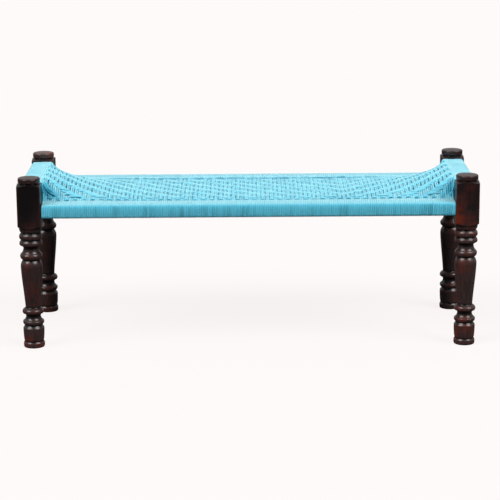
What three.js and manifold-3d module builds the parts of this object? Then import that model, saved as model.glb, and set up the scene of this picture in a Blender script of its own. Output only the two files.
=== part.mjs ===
// A charpai bench: four turned legs, two long and two end rails tenoned into their square blocks, and a
// seat of cotton cord that is wrapped round the rails and woven across the frame.
// Units are millimetres. X runs along the bench, the front faces -Y, Z is up, and the origin lies on the
// floor under the middle of the seat.
import * as THREE from "three";
import { mergeVertices } from "three/addons/utils/BufferGeometryUtils.js";
import Module from "manifold-3d";

const wasm = await Module();
wasm.setup();

// Overall sizes, over the square blocks of the legs
const overallLength = 1220;
const overallDepth = 430;
const overallHeight = 464;

// Legs: a square block left on the turning, with a button above it and the turned shaft below
const blockSide = 62;
const blockEdgeRadius = 4;
const blockHeight = 119;
const blockShoulder = 9;
const blockRim = 5;
const turningRadius = 31;
const buttonRise = 17;
const buttonRadius = 29.5;
const buttonHeight = 14.5;
const buttonRimRadius = 4;
const buttonCrown = 1.5;
const buttonNeckRadius = 26;
const legSides = 18;

// Rails: flat bars under the cord, the end pair set higher than the long pair. The seat's drop is measured
// from the tops of the legs to the cord on the long rails.
const railWidth = 47;
const railThickness = 28;
const railEdgeRadius = 3;
const cornerSteps = 3;
const seatDrop = 70.5;
const endRailRise = 48;
const tenonWidth = 28;
const tenonThickness = 20;
const tenonLength = 42;

// Cord: its diameter, and the bands of cords that cross in the seat. Beside each long rail a strip as wide as
// the warp's margin has crosswise cords alone.
const cordDiameter = 5;
const weftBands = 32;
const warpBands = 10;
const warpMargin = 22.5;
const bandThickness = 3.5;
const weftGap = 2.4;
const warpGap = 7.6;

// The gap that neighbouring pieces keep, and how far a cutting or joining shape runs past its face
const fitGap = 0.3;
const overrun = 5;

// Places that follow from the sizes
const legX = (overallLength - blockSide) / 2;
const legY = (overallDepth - blockSide) / 2;
const longClear = 2 * legX - blockSide;
const endClear = 2 * legY - blockSide;
const blockTop = overallHeight - buttonRise;
const blockBottom = blockTop - blockHeight;
const seatHeight = overallHeight - seatDrop;
const wrapThickness = cordDiameter + fitGap;
const wrapWidth = railWidth + 2 * wrapThickness;
const longRailZ = seatHeight - wrapThickness - railThickness / 2;
const endRailZ = longRailZ + endRailRise;

// Materials, with colours as in the photograph
const wood = { color: 0x2a1715, roughness: 0.3, metalness: 0 };
const bareWood = { color: 0x8a5a3c, roughness: 0.7, metalness: 0 };
const cord = { color: 0x8edcec, roughness: 0.9, metalness: 0 };

const bench = new THREE.Group();

// A three.js geometry as a solid that can be joined and cut.
function solidOf(geometry) {
  const bare = geometry.clone();
  bare.deleteAttribute("normal");
  bare.deleteAttribute("uv");
  const merged = mergeVertices(bare, fitGap / 1000);
  const triVerts = merged.index
    ? new Uint32Array(merged.index.array)
    : Uint32Array.from({ length: merged.attributes.position.count }, (_, i) => i);
  const vertProperties = merged.attributes.position.array;
  return new wasm.Manifold(new wasm.Mesh({ numProp: 3, vertProperties, triVerts }));
}

// The solid's faces as a geometry again.
function geometryOf(solid) {
  const mesh = solid.getMesh();
  const geometry = new THREE.BufferGeometry();
  geometry.setAttribute("position", new THREE.BufferAttribute(mesh.vertProperties, 3));
  geometry.setIndex(new THREE.BufferAttribute(mesh.triVerts, 1));
  geometry.computeVertexNormals();
  return geometry;
}

// Adds one named piece to the bench.
function addPiece(name, geometry, look) {
  const mesh = new THREE.Mesh(geometry, new THREE.MeshStandardMaterial(look));
  mesh.name = name;
  bench.add(mesh);
  return mesh;
}

// A box of the given size, centred on a point.
function boxSolid(sizeX, sizeY, sizeZ, x, y, z) {
  return solidOf(new THREE.BoxGeometry(sizeX, sizeY, sizeZ).translate(x, y, z));
}

// A rectangle with rounded corners, centred on the origin.
function roundedOutline(width, height, radius, Kind) {
  const x = width / 2;
  const y = height / 2;
  const outline = new Kind();
  outline.moveTo(radius - x, -y);
  outline.lineTo(x - radius, -y);
  outline.absarc(x - radius, radius - y, radius, -Math.PI / 2, 0);
  outline.lineTo(x, y - radius);
  outline.absarc(x - radius, y - radius, radius, 0, Math.PI / 2);
  outline.lineTo(radius - x, y);
  outline.absarc(radius - x, y - radius, radius, Math.PI / 2, Math.PI);
  outline.lineTo(-x, radius - y);
  outline.absarc(radius - x, radius - y, radius, Math.PI, 1.5 * Math.PI);
  return outline;
}

// A bar along X with its middle on the origin, extruded from an outline in the YZ plane.
function barAlongX(outline, length) {
  const geometry = new THREE.ExtrudeGeometry(outline, {
    depth: length,
    bevelEnabled: false,
    curveSegments: cornerSteps,
  });
  geometry.translate(0, 0, -length / 2);
  geometry.rotateX(Math.PI / 2);
  return geometry.rotateZ(Math.PI / 2);
}

// The turned shaft's outline from the floor to the block. Each row is one stretch: it ends at its last pair
// and bends towards the pairs before it. A pair is a share of the turning's radius and of the shaft's height.
const shaftShares = [
  [[0.871, 0]],
  [[0.913, 0.012]],
  [[0.91, 0.037]],
  [[0.813, 0.052]],
  [[0.858, 0.063]],
  [[0.913, 0.11], [0.91, 0.162]],
  [[0.742, 0.187]],
  [[0.955, 0.197], [0.903, 0.222]],
  [[0.548, 0.243], [0.548, 0.28], [0.877, 0.286]],
  [[1, 0.303], [0.855, 0.32]],
  [[0.652, 0.335]],
  [[0.723, 0.453], [0.903, 0.563], [0.948, 0.673]],
  [[0.955, 0.709], [0.735, 0.734]],
  [[0.955, 0.743], [0.968, 0.766]],
  [[0.974, 0.78], [0.823, 0.791]],
  [[0.684, 0.807], [0.652, 0.835]],
  [[0.71, 0.846], [0.974, 0.859]],
  [[1.029, 0.873], [0.935, 0.888]],
  [[0.819, 0.901]],
  [[1.006, 0.908], [1, 0.928]],
  [[1, 0.945], [0.806, 0.96]],
  [[0.974, 0.968], [0.987, 1]],
];
// Steps in a stretch with no bend, one bending pair and two
const stretchSteps = [1, 2, 5];

// The outline of the whole turning: the shaft, the block's corners as the lathe leaves them, and the button.
function legOutline() {
  const points = [new THREE.Vector2(0, 0)];
  for (const stretch of shaftShares) {
    const ends = stretch.map(
      ([radiusShare, heightShare]) =>
        new THREE.Vector2(radiusShare * turningRadius, heightShare * blockBottom),
    );
    const steps = stretchSteps[stretch.length - 1];
    const curve = bendThrough(points.at(-1), ends);
    points.push(...curve.getPoints(steps).slice(1));
  }
  const cornerRadius = blockSide * Math.SQRT1_2;
  const shaftTop = points.at(-1).x;
  const buttonBottom = overallHeight - buttonHeight;
  points.push(
    new THREE.Vector2(cornerRadius, blockBottom + blockShoulder),
    new THREE.Vector2(cornerRadius, blockTop - blockRim),
    new THREE.Vector2(shaftTop, blockTop),
    new THREE.Vector2(buttonNeckRadius, blockTop),
    new THREE.Vector2(buttonNeckRadius, buttonBottom),
    new THREE.Vector2(buttonRadius - buttonRimRadius / 2, buttonBottom),
    new THREE.Vector2(buttonRadius, buttonBottom + buttonRimRadius / 2),
  );
  const rim = new THREE.EllipseCurve(
    buttonRadius - buttonRimRadius,
    overallHeight - buttonCrown - buttonRimRadius,
    buttonRimRadius,
    buttonRimRadius,
    0,
    Math.PI / 2,
  );
  points.push(...rim.getPoints(cornerSteps), new THREE.Vector2(0, overallHeight));
  return points;
}

// A line, or a curve with one or two bending points, from a start to the last of the given points.
function bendThrough(start, points) {
  if (points.length === 1) return new THREE.LineCurve(start, points[0]);
  if (points.length === 2) return new THREE.QuadraticBezierCurve(start, ...points);
  return new THREE.CubicBezierCurve(start, ...points);
}

// The leg's turned and squared solid with its axis on Z: what the lathe leaves of a square post.
function legBlank() {
  const turning = solidOf(new THREE.LatheGeometry(legOutline(), legSides).rotateX(Math.PI / 2));
  const post = new THREE.ExtrudeGeometry(roundedOutline(blockSide, blockSide, blockEdgeRadius, THREE.Shape), {
    depth: overallHeight + 2 * overrun,
    bevelEnabled: false,
    curveSegments: cornerSteps,
  });
  return turning.intersect(solidOf(post.translate(0, 0, -overrun)));
}

// The two mortises of a leg at (sideX, sideY): the long rail's lies below the end rail's, so that both tenons
// run deep into the block and pass each other.
function legSolid(blank, sideX, sideY) {
  const depth = tenonLength + fitGap + overrun;
  const centre = blockSide / 2 + overrun - depth / 2;
  const width = tenonWidth + 2 * fitGap;
  const thickness = tenonThickness + 2 * fitGap;
  const longMortise = boxSolid(depth, width, thickness, -sideX * centre, 0, longRailZ);
  const endMortise = boxSolid(width, depth, thickness, 0, -sideY * centre, endRailZ);
  return blank.subtract(longMortise).subtract(endMortise);
}

// A rail along X: a bar between the blocks with a thinner tenon running on at each end.
function railSolid(clearLength) {
  const outline = roundedOutline(railWidth, railThickness, railEdgeRadius, THREE.Shape);
  const bar = solidOf(barAlongX(outline, clearLength - 2 * fitGap));
  return bar.add(boxSolid(clearLength + 2 * tenonLength, tenonWidth, tenonThickness, 0, 0, 0));
}

// The cord's turns round a rail, side by side, as one sleeve whose bore clears the rail.
function wrapGeometry(clearLength) {
  const outline = wrapOutline(0);
  const bore = roundedOutline(
    railWidth + 2 * fitGap,
    railThickness + 2 * fitGap,
    railEdgeRadius + fitGap,
    THREE.Path,
  );
  outline.holes.push(bore);
  return barAlongX(outline, clearLength - 2 * fitGap);
}

// The outside of a wrapped rail, grown by a clearance.
function wrapOutline(clearance) {
  const growth = 2 * (wrapThickness + clearance);
  const radius = railEdgeRadius + wrapThickness + clearance;
  return roundedOutline(railWidth + growth, railThickness + growth, radius, THREE.Shape);
}

// The seat is a web of taut cords, and it takes the shape of a film stretched between the low long rails and
// the high end rails: flat along the middle and sweeping up to each end.
const bandLift = bandThickness + fitGap;
const webLow = seatHeight - bandLift - bandThickness / 2;
const webHigh = seatHeight + endRailRise - bandThickness / 2;
const webLength = 2 * legX - wrapWidth;
const webWidth = 2 * legY - wrapWidth;
const bandReach = (railEdgeRadius + wrapThickness) / 2;

// The film's height at a point: the surface of least tension between edges at two levels.
function filmHeight(x, y) {
  const fromEnd = Math.max(webLength / 2 - Math.abs(x), 0);
  const fromSide = Math.max(webWidth / 2 - Math.abs(y), 0);
  const across = Math.sin((Math.PI * fromSide) / webWidth);
  const along = Math.sinh((Math.PI * fromEnd) / webWidth);
  const riseShare = Math.atan2(across, along) / (Math.PI / 2);
  return webLow + (webHigh - webLow) * riseShare;
}

// Where one band of crosswise cords ends and the next begins, between the blocks.
const weftLines = evenLines(longClear - 2 * fitGap, weftBands);
const warpLines = evenLines(webWidth - 2 * warpMargin, warpBands);
// The lengthwise bands bend at the same lines and run on over the rounded edges of the end wraps
const webEnd = webLength / 2;
const warpStations = [-webEnd - bandReach, -webEnd, ...weftLines, webEnd, webEnd + bandReach];

// Evenly spaced lines across a span centred on zero.
function evenLines(span, count) {
  return Array.from({ length: count + 1 }, (_, i) => (i / count - 1 / 2) * span);
}

// The web's height between two stations, which both sets of bands share so that they keep their distance.
function webHeight(x, y) {
  const next = Math.max(warpStations.findIndex((station) => station >= x), 1);
  const [x0, x1] = warpStations.slice(next - 1, next + 1);
  const share = (x - x0) / (x1 - x0);
  return THREE.MathUtils.lerp(filmHeight(x0, y), filmHeight(x1, y), share);
}

// A flat band over the web as one closed skin: a grid of stations in X and Y, lifted from the web by liftAt.
function bandGeometry(xs, ys, liftAt) {
  const across = xs.length;
  const layer = across * ys.length;
  const positions = [];
  for (const side of [-1, 1]) {
    for (const y of ys) {
      for (const x of xs) {
        positions.push(x, y, webHeight(x, y) + liftAt(y) + (side * bandThickness) / 2);
      }
    }
  }
  const index = [];
  const quad = (a, b, c, d) => index.push(a, b, c, a, c, d);
  for (let j = 0; j + 1 < ys.length; j++) {
    for (let i = 0; i + 1 < across; i++) {
      const corner = j * across + i;
      quad(layer + corner, layer + corner + 1, layer + corner + across + 1, layer + corner + across);
      index.push(corner, corner + across + 1, corner + 1, corner, corner + across, corner + across + 1);
    }
  }
  // The band's rim, anticlockwise from above
  const rim = [];
  for (let i = 0; i < across; i++) rim.push(i);
  for (let j = 1; j < ys.length; j++) rim.push(j * across + across - 1);
  for (let i = across - 2; i >= 0; i--) rim.push(layer - across + i);
  for (let j = ys.length - 2; j > 0; j--) rim.push(j * across);
  rim.forEach((from, k) => {
    const to = rim[(k + 1) % rim.length];
    quad(from, to, layer + to, layer + from);
  });
  const geometry = new THREE.BufferGeometry();
  geometry.setAttribute("position", new THREE.Float32BufferAttribute(positions, 3));
  return geometry.setIndex(index);
}

// A crosswise band between two weft lines. It leaves the long rails level with their wraps, and passes over
// one lengthwise band and under the next; its neighbour does the opposite.
function weftGeometry(i) {
  const xs = [weftLines[i] + weftGap / 2, weftLines[i + 1] - weftGap / 2];
  const sideEnd = webWidth / 2 + bandReach;
  const lifts = new Map([[-sideEnd, bandLift]]);
  for (let j = 0; j < warpBands; j++) {
    const lift = (i + j) % 2 ? bandLift : -bandLift;
    warpEdges(j).forEach((y) => lifts.set(y, lift));
  }
  lifts.set(sideEnd, bandLift);
  return bandGeometry(xs, [...lifts.keys()], (y) => lifts.get(y));
}

// The two edges of a lengthwise band.
function warpEdges(j) {
  return [warpLines[j] + warpGap / 2, warpLines[j + 1] - warpGap / 2];
}

// A two-figure number for a piece's name.
function numbered(name, i) {
  return `${name}_${String(i + 1).padStart(2, "0")}`;
}

// Legs
const blank = legBlank();
const corners = { front_left: [-1, -1], front_right: [1, -1], back_left: [-1, 1], back_right: [1, 1] };
for (const [corner, [sideX, sideY]] of Object.entries(corners)) {
  const leg = addPiece(`leg_${corner}`, geometryOf(legSolid(blank, sideX, sideY)), wood);
  leg.position.set(sideX * legX, sideY * legY, 0);
}

// Long rails with their wraps, and the end rails, turned to run from front to back
const longRail = geometryOf(railSolid(longClear));
const endRail = geometryOf(railSolid(endClear)).rotateZ(Math.PI / 2);
const longWrap = wrapGeometry(longClear);
const endWrap = wrapGeometry(endClear).rotateZ(Math.PI / 2);
const rails = {
  front: [longRail, longWrap, 0, -legY, longRailZ],
  back: [longRail, longWrap, 0, legY, longRailZ],
  left: [endRail, endWrap, -legX, 0, endRailZ],
  right: [endRail, endWrap, legX, 0, endRailZ],
};
for (const [side, [rail, wrap, ...place]] of Object.entries(rails)) {
  addPiece(`rail_${side}`, rail, bareWood).position.set(...place);
  addPiece(`cord_wrap_${side}`, wrap, cord).position.set(...place);
}

// The seat's bands, their ends fitted to the rounded edges of the wraps that carry them
const longSeat = solidOf(barAlongX(wrapOutline(fitGap), longClear));
const endSeat = solidOf(barAlongX(wrapOutline(fitGap), endClear).rotateZ(Math.PI / 2));
const longSeats = longSeat.translate([0, -legY, longRailZ]).add(longSeat.translate([0, legY, longRailZ]));
const endSeats = endSeat.translate([-legX, 0, endRailZ]).add(endSeat.translate([legX, 0, endRailZ]));
for (let i = 0; i < weftBands; i++) {
  const band = solidOf(weftGeometry(i)).subtract(longSeats);
  addPiece(numbered("weft_band", i), geometryOf(band), cord);
}
for (let j = 0; j < warpBands; j++) {
  const band = solidOf(bandGeometry(warpStations, warpEdges(j), () => 0)).subtract(endSeats);
  addPiece(numbered("warp_band", j), geometryOf(band), cord);
}

export default bench;
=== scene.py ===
"""A charpai bench: a low bench of turned wood with a seat of interlaced cotton cord.

Four turned legs in dark varnished hardwood carry two long rails and two end rails set higher. Sky blue
cord is wound round every rail and woven across the frame, so the seat sweeps up to each end.

The file is laid out as an add-on. Its property groups hold the sizes and colours, each operator makes one
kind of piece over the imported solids, and the panel lists them. All lengths are in metres.
"""

import math

import bpy
import numpy as np
from mathutils import Matrix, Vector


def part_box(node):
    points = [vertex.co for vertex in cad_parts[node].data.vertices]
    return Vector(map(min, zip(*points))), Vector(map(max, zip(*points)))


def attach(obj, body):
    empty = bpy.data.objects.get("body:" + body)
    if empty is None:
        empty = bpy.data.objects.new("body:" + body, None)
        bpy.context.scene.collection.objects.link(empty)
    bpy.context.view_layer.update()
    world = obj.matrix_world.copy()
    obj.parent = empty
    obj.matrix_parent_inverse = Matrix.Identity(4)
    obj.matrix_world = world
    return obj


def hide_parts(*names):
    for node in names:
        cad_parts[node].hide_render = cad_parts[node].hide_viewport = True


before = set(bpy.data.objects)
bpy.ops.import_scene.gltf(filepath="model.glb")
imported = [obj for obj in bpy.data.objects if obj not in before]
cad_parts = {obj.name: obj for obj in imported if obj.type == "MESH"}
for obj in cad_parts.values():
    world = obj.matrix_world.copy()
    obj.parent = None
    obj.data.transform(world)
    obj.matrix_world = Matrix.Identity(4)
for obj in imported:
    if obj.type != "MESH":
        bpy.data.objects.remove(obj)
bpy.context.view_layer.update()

bl_info = {
    "name": "Charpai bench",
    "version": (1, 0, 0),
    "blender": (4, 5, 0),
    "location": "View3D > Sidebar > Bench",
    "description": "A woven bench with turned legs, dressed over its packed solids",
    "category": "Object",
}

MM = 0.001
BODY = "root"

# Cords in a band, laid in pairs. For each cord: its pair, its pair's place from the band's middle in
# pitches, and its side of the pair's middle in cord widths
PAIRS_IN_BAND = 3
CORDS_IN_BAND = 2 * PAIRS_IN_BAND
PAIR_OF_CORD = np.arange(CORDS_IN_BAND) // 2
PAIR_PLACE = PAIR_OF_CORD - (PAIRS_IN_BAND - 1) / 2
SIDE_OF_PAIR = np.arange(CORDS_IN_BAND) % 2 - 0.5

# The twill's lines slant one way up to this share of the seat's length from the left, then the other way
TWILL_TURN_SHARE = 0.73
# Least and greatest share of the full rise and fall that a pair makes at a crossing
BEND_RANGE = (0.7, 1.15)
# The part of it that is left at the outermost lengthwise pair
EDGE_BEND = 0.5
# The seat lies lower than the end rails' tops by this share of its drop below the long rails' tops
END_DROP_SHARE = 0.6

# Length over which the lengthwise cords spread out from the seat to the posts
FAN_LENGTH = 170 * MM
# Length up to the rail over which they widen
WIDEN_LENGTH = 45 * MM
# How far from the bench's middle the seat starts to climb to the end rails, and climbs in full
CLIMB = (330 * MM, 440 * MM)
# How much wider the crosswise cords are pressed where it climbs
PRESSED_WIDER = 0.3
# How far inside the woven edge that starts, and is full
PRESSED_PLACES = (60 * MM, 20 * MM)

# Half the height of a cord on a rail
RAIL_CORD_HALF = 2.65 * MM
# How far onto the rail a seat cord's end lies, and how deep it sinks there between the wrap's turns
END_REACH = 19 * MM
END_SINK = 2 * MM
# Clearance between the two crosswise cords of a pair, and of all the seat's cords over the rails
PLAY = 0.1 * MM

# The corners beside the posts, where the cords tangle and are painted in shade, reach this far along a rail,
# and are at their fullest this far from it
CORNER_REACH = 50 * MM
CORNER_EDGE = 8 * MM
# Share of that tangle and painted shade in the right end's corners
RIGHT_CORNER = 0.5
# How far the cords tangle in the corners, and how far the lengthwise cords do so sideways
TANGLE = 1.5 * MM
LENGTHWISE_TANGLE = 2 * MM
# The strip along a long rail that is painted in shade, outward from its inner edge: where it starts, is full
# and ends again
STRIP_START, STRIP_FULL, STRIP_END = -14 * MM, -6 * MM, 5 * MM

# Sides of a cord's section, and stations round one turn of a wrap
CORD_SIDES = 8
TURN_STATIONS = 24
# Radius of a wrap's corners outside
WRAP_CORNER = 8.3 * MM
# How far a turn strays along the rail, how far it lies in or out, and how much it overlaps the next
TURN_STRAY = 0.25 * MM
TURN_LIFT = (-0.2 * MM, 0.05 * MM)
TURN_OVERLAP = 0.03 * MM
# Painted light on the wraps' tops: how pale the dye is painted on top of the wrapped long rails, along X, and
# of the wrapped end rails, along Y, for the even look of their lit tops
PAINTED_TOP_TINT = {"x": 0.8, "y": 0.22}
# How far that painted light evens out the turns' own tints, and how deep under the top it starts and stops to
# fade
PAINTED_TOP_SHARE = 0.8
PAINTED_TOP_DEPTH = (3 * MM, 9 * MM)

# How high the two main lights stand over the floor, and how far round to the left and right of the camera
LIGHT_HEIGHT = math.radians(45)
LIGHT_TURN = math.radians(56)
# How wide each one looks from the bench, which softens its shadows
LIGHT_SPREAD = math.radians(34)
# Half the floor's side, how far the camera sees, and the width of its sensor in millimetres
FLOOR_REACH = 60.0
VIEW_REACH = 200
SENSOR_WIDTH = 36

# The turned shaft's outline from the floor to the block. Each row is one stretch: it ends at its last pair
# and bends towards the pairs before it. A pair is a share of the turning's radius and of the shaft's height.
SHAFT_SHARES = (
    ((0.871, 0),),
    ((0.913, 0.012),),
    ((0.91, 0.037),),
    ((0.813, 0.052),),
    ((0.858, 0.063),),
    ((0.913, 0.11), (0.91, 0.162)),
    ((0.742, 0.187),),
    ((0.955, 0.197), (0.903, 0.222)),
    ((0.548, 0.243), (0.548, 0.28), (0.877, 0.286)),
    ((1, 0.303), (0.855, 0.32)),
    ((0.652, 0.335),),
    ((0.723, 0.453), (0.903, 0.563), (0.948, 0.673)),
    ((0.955, 0.709), (0.735, 0.734)),
    ((0.955, 0.743), (0.968, 0.766)),
    ((0.974, 0.78), (0.823, 0.791)),
    ((0.684, 0.807), (0.652, 0.835)),
    ((0.71, 0.846), (0.974, 0.859)),
    ((1.029, 0.873), (0.935, 0.888)),
    ((0.819, 0.901),),
    ((1.006, 0.908), (1, 0.928)),
    ((1, 0.945), (0.806, 0.96)),
    ((0.974, 0.968), (0.987, 1)),
)
# The button's outline in the same way, in millimetres: its neck and lower edge over the block's top, and its
# upper edge and top under the leg's own top
BUTTON_FOOT = (((26, 0),), ((26, 2.5),), ((27.5, 2.5),), ((29.5, 2.5), (29.5, 5.5)))
BUTTON_HEAD = (((29.5, -5.5),), ((29.5, -1.5), (25.5, -1.5)), ((0, 0),))
# Height over which the lathe rounds the block's top, and the rounding where its cut meets the block's faces
BLOCK_TOP_SHOULDER = 5 * MM
CUT_EDGE = 0.35 * MM
# Steps in a stretch, and the spacing of the outline's samples
STRETCH_STEPS = 24
SAMPLE = 0.3 * MM
# Width in samples of the bell curve that averages them, and samples from one ring of points to the next
BELL_WIDTH = 2
SAMPLES_PER_RING = 4

# Beads and grooves are measured from the outline's average over this many rings on either side
AVERAGE_RINGS = 6
# Height above or below the average that counts in full, and how much a bead is then rubbed
FULL_STAND = 1.2 * MM
BEAD_RUB = 0.2
# Distance from the leg's middle at which the block's edges start to be rubbed, and over which that grows
RUB_START = 39.5 * MM
RUB_LENGTH = 3 * MM
# How far the turning stands outside the square where a point is wholly the block's
POST_DEPTH = 4 * MM
# Thinness of the stain at which its streaks are fully pale, from thin stain and painted sheen together, and
# the block's share of that
PALE_STREAK_THINNESS = 0.4
BLOCK_SHEEN_SHARE = 0.45

# Sockets of a Mix node that mixes colours: its first and second colour, and its result
FIRST, SECOND, MIXED = 6, 7, 2


def linear(hex_colour):
    """An sRGB hex colour as the three linear levels that a shader takes."""
    levels = np.array([int(hex_colour[i : i + 2], 16) for i in (0, 2, 4)]) / 255
    return tuple(np.where(levels > 0.04045, ((levels + 0.055) / 1.055) ** 2.4, levels / 12.92))


def length_property(name, description, default, least):
    """A length for a property group, whose default and least value are given in millimetres."""
    return bpy.props.FloatProperty(
        name=name,
        description=description,
        default=default * MM,
        min=least * MM,
        subtype="DISTANCE",
        unit="LENGTH",
    )


def colour_property(name, description, hex_colour):
    """A colour for a property group, whose default is an sRGB hex value."""
    return bpy.props.FloatVectorProperty(
        name=name, description=description, default=linear(hex_colour), min=0, max=1, subtype="COLOR"
    )


def share_property(name, description, default):
    """A share from 0 to 1 for a property group."""
    return bpy.props.FloatProperty(
        name=name, description=description, default=default, min=0, max=1, subtype="FACTOR"
    )


class BenchSizes(bpy.types.PropertyGroup):
    """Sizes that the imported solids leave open."""

    turning_radius: length_property(
        "Turning radius", "Radius of the lathe work, which the outline's shares are taken of", 31, 10
    )
    shaft_height: length_property(
        "Shaft height", "From the floor to the underside of the square block", 328, 50
    )
    block_height: length_property("Block height", "Height of the square block that takes the rails", 119, 20)
    block_shoulder: length_property(
        "Block shoulder", "Height over which the lathe rounds the block's lower corners", 9, 1
    )
    block_edge: length_property(
        "Block edge radius", "Rounding of the square block's upright edges", 4, 0.5
    )
    cord_width: length_property("Cord width", "Width of the cotton cord where it lies in the seat", 4.1, 1)
    cord_height: length_property("Cord height", "Height of the cotton cord where it lies in the seat", 4.3, 1)
    weave_rise: length_property(
        "Weave rise", "How far a cord's middle lies above or below the seat's middle surface", 3.7, 1
    )
    seat_drop: length_property(
        "Seat drop", "How far the seat's middle surface lies below the tops of the wrapped long rails", 6.5, 1
    )
    unevenness: length_property(
        "Unevenness", "How far a cord strays sideways in the hand-made weave", 1.2, 0
    )


class BenchColours(bpy.types.PropertyGroup):
    """Colours of the finishes."""

    cord: colour_property("Cord", "The dyed cotton on the sides of a cord", "72E6FF")
    # cord_painted_top_light is painted light: the paler colour of faces that point up stands for the light
    # from above
    cord_painted_top_light: colour_property(
        "Cord, bleached", "The dyed cotton where it faces up and light has bleached it", "AEE9EF"
    )
    # cord_deep_dye_and_shade is partly the deeper dye and partly painted shade: the strands' grooves and the
    # parts in painted_shade take it
    cord_deep_dye_and_shade: colour_property(
        "Cord, deep", "The dye between the cord's strands and where it took more strongly", "1F88A6"
    )
    # The stain's greyish cast partly stands for the varnish's broad sheen: painted sheen
    stain: colour_property("Stain", "The dark stain over most of the turned wood", "40302E")
    stain_deep: colour_property("Stain, deep", "Stain gathered in the grooves and the open grain", "0A0506")
    mahogany: colour_property(
        "Mahogany", "The redder wood that shows where the stain is thin or rubbed", "6A2514"
    )
    bare_wood: colour_property("Bare wood", "The planed rails under the cord", "8A5A3C")


class BenchStudio(bpy.types.PropertyGroup):
    """The camera and the light."""

    camera_place: bpy.props.FloatVectorProperty(
        name="Camera place",
        description="Where the camera stands",
        default=(-0.002, -4.984, 1.405),
        subtype="TRANSLATION",
        unit="LENGTH",
    )
    camera_turn: bpy.props.FloatVectorProperty(
        name="Camera turn",
        description="The camera's turn to the right, its tilt down and its roll",
        default=tuple(math.radians(angle) for angle in (0.07, 13.4, -0.41)),
        subtype="EULER",
        unit="ROTATION",
    )
    lens: bpy.props.FloatProperty(
        name="Lens",
        description="Focal length on a sensor 36 mm wide",
        default=133.3,
        min=10,
        subtype="DISTANCE_CAMERA",
        unit="CAMERA",
    )
    backdrop: colour_property("Backdrop", "The floor and backdrop as the camera sees them", "FEFAF9")
    room_light: share_property(
        "Room light", "Strength of the white light from the room behind the camera", 0.12
    )
    backdrop_light: share_property(
        "Backdrop light", "Strength of the white light from the backdrop behind the bench", 0.58
    )
    main_light: bpy.props.FloatProperty(
        name="Main light",
        description="Strength of each of the two wide lights, from the left and from the right",
        default=2.27,
        min=0,
    )
    floor_shadow: share_property(
        "Floor shadow", "How much of the floor's brightness the shadow can take", 0.075
    )


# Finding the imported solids


def nodes_named(start):
    """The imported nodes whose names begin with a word, in their order along the bench."""
    return sorted(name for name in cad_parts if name.startswith(start))


def middle(node):
    """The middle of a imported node's box."""
    low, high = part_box(node)
    return np.array((low + high) / 2)


def half(node):
    """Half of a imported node's box in X, Y and Z."""
    low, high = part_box(node)
    return np.array((high - low) / 2)


def web_edges():
    """The seat's half length and half width between the wrapped rails, and the rails' low and high tops."""
    half_length = middle("cord_wrap_right")[0] - half("cord_wrap_right")[0]
    half_width = middle("cord_wrap_back")[1] - half("cord_wrap_back")[1]
    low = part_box("cord_wrap_front")[1][2]
    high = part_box("cord_wrap_right")[1][2]
    return half_length, half_width, low, high


# Making meshes


def add_piece(name, nodes, material, vertices, faces, corner_maps=(), point_values=()):
    """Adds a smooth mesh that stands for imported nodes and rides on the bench's one body.

    corner_maps are UV maps by name, with one pair for each corner of each face in turn. point_values are
    attributes by name, with one number for each vertex.
    """
    mesh = bpy.data.meshes.new(name)
    mesh.from_pydata(vertices, [], faces)
    for map_name, pairs in dict(corner_maps).items():
        mesh.uv_layers.new(name=map_name).data.foreach_set("uv", pairs.astype(np.float32).ravel())
    for value_name, values in dict(point_values).items():
        attribute = mesh.attributes.new(value_name, "FLOAT", "POINT")
        attribute.data.foreach_set("value", values.astype(np.float32).ravel())
    mesh.polygons.foreach_set("use_smooth", np.ones(len(mesh.polygons), bool))
    mesh.materials.append(material)
    mesh.update()
    piece = bpy.data.objects.new(name, mesh)
    bpy.context.scene.collection.objects.link(piece)
    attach(piece, BODY)
    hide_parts(*nodes)


def unit(vectors):
    """Vectors scaled to length one."""
    return vectors / np.linalg.norm(vectors, axis=-1, keepdims=True)


def mix(start, end, share):
    """start where the share is 0, end where it is 1 and in proportion between."""
    return start * (1 - share) + end * share


def smooth_step(value, low, high):
    """0 below low, 1 above high and a smooth cubic between."""
    share = np.clip((value - low) / (high - low), 0, 1)
    return share * share * (3 - 2 * share)


def path_lengths(paths):
    """The length along each path up to each of its points."""
    steps = np.linalg.norm(np.diff(paths, axis=-2), axis=-1)
    return np.concatenate([np.zeros_like(steps[..., :1]), np.cumsum(steps, axis=-1)], axis=-1)


def skin_faces(first, sides):
    """Quads from each ring of points to the next, where first is the number of each ring's first point."""
    here = first[..., None] + np.arange(sides)
    beside = first[..., None] + (np.arange(sides) + 1) % sides
    return np.stack([here, beside, beside + sides, here + sides], -1).reshape(-1, 4)


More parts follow.
